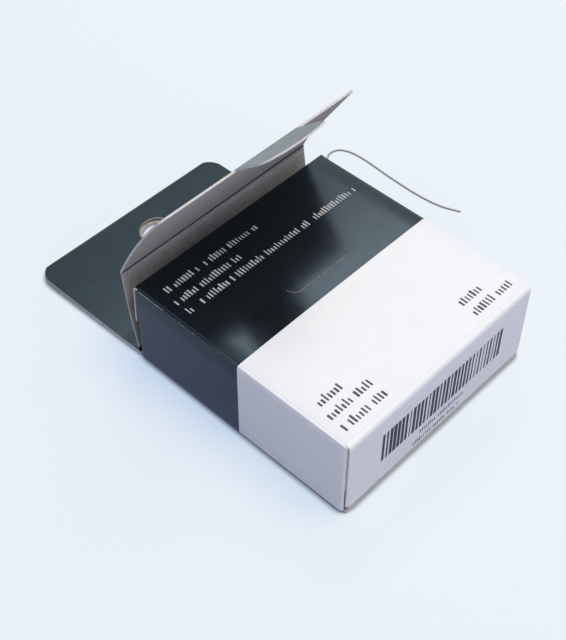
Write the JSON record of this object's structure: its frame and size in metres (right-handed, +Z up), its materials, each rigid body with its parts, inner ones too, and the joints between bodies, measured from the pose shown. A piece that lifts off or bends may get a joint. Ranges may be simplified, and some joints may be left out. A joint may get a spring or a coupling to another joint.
{
  "type": "dental floss dispenser carton",
  "caption": "Small paperboard floss carton lying on its back, its lid and cover flap open, with a hang tab, a steel cutter, a turning spool and a loose end of floss.",
  "frame": {"origin": "centre of the back panel's resting face, which lies on the table", "axes": "+Z up through the front face, +Y towards the lid end and the hang tab, +X to the right seen from above with the lid end away from the viewer"},
  "size_m": [0.0712, 0.0792, 0.0451],
  "materials": {
    "white_print": "satin coated white print",
    "black_print": "gloss coated black print",
    "raw_board": "uncoated grey-brown board",
    "cutter_steel": "stamped",
    "core_paper": "rolled kraft paper",
    "floss": "waxed fibre"
  },
  "bodies": {
    "carton": {"front_panel": "white_print", "back_panel": "white_print", "left_side_panel": "white_print", "right_side_panel": "white_print", "seam_flap": "raw_board", "cutter_flap": "black_print", "lid_dust_flap_left": "black_print", "lid_dust_flap_right": "black_print", "base_dust_flap_left": "white_print", "base_dust_flap_right": "white_print", "hang_tab_rear_ply": "black_print", "hang_tab_front_ply": "black_print", "cutter_blade": "cutter_steel", "spool_post": "core_paper", "floss_strand": "floss"},
    "lid": {"lid_end_panel": "raw_board"},
    "cover": {"cover_flap": "raw_board"},
    "tongue": {"locking_tongue": "black_print"},
    "base": {"base_end_panel": "white_print"},
    "base_tuck": {"base_tuck_flap": "raw_board"},
    "spool": {"spool_core": "core_paper", "floss_winding": "floss"}
  },
  "joints": [
    {"name": "lid_hinge", "type": "hinge", "parent": "carton", "child": "lid", "pos_m": [0, 0.0262, 0.0011], "axis": [1, 0, 0], "range_deg": [-79, 7.6]},
    {"name": "cover_hinge", "type": "hinge", "parent": "lid", "child": "cover", "pos_m": [0, 0.02858, 0.01894], "axis": [1, 0, 0], "range_deg": [-38.8, 51.2]},
    {"name": "tongue_hinge", "type": "hinge", "parent": "cover", "child": "tongue", "pos_m": [0, 0.01667, 0.03862], "axis": [1, 0, 0], "range_deg": [-18.8, 14.3]},
    {"name": "base_hinge", "type": "hinge", "parent": "carton", "child": "base", "pos_m": [0, -0.0248, 0.0181], "axis": [-1, 0, 0], "range_deg": [0, 60]},
    {"name": "base_tuck_hinge", "type": "hinge", "parent": "base", "child": "base_tuck", "pos_m": [0, -0.0248, 0.0007], "axis": [-1, 0, 0], "range_deg": [-60, 0]},
    {"name": "spool_spin", "type": "hinge", "parent": "carton", "child": "spool", "pos_m": [0, 0, 0.009], "axis": [0, 0, 1], "continuous": true}
  ],
  "couplings": [
    {"joint": "tongue_hinge", "follows": "cover_hinge", "ratio": -0.367},
    {"joint": "base_tuck_hinge", "follows": "base_hinge", "ratio": -1}
  ]
}
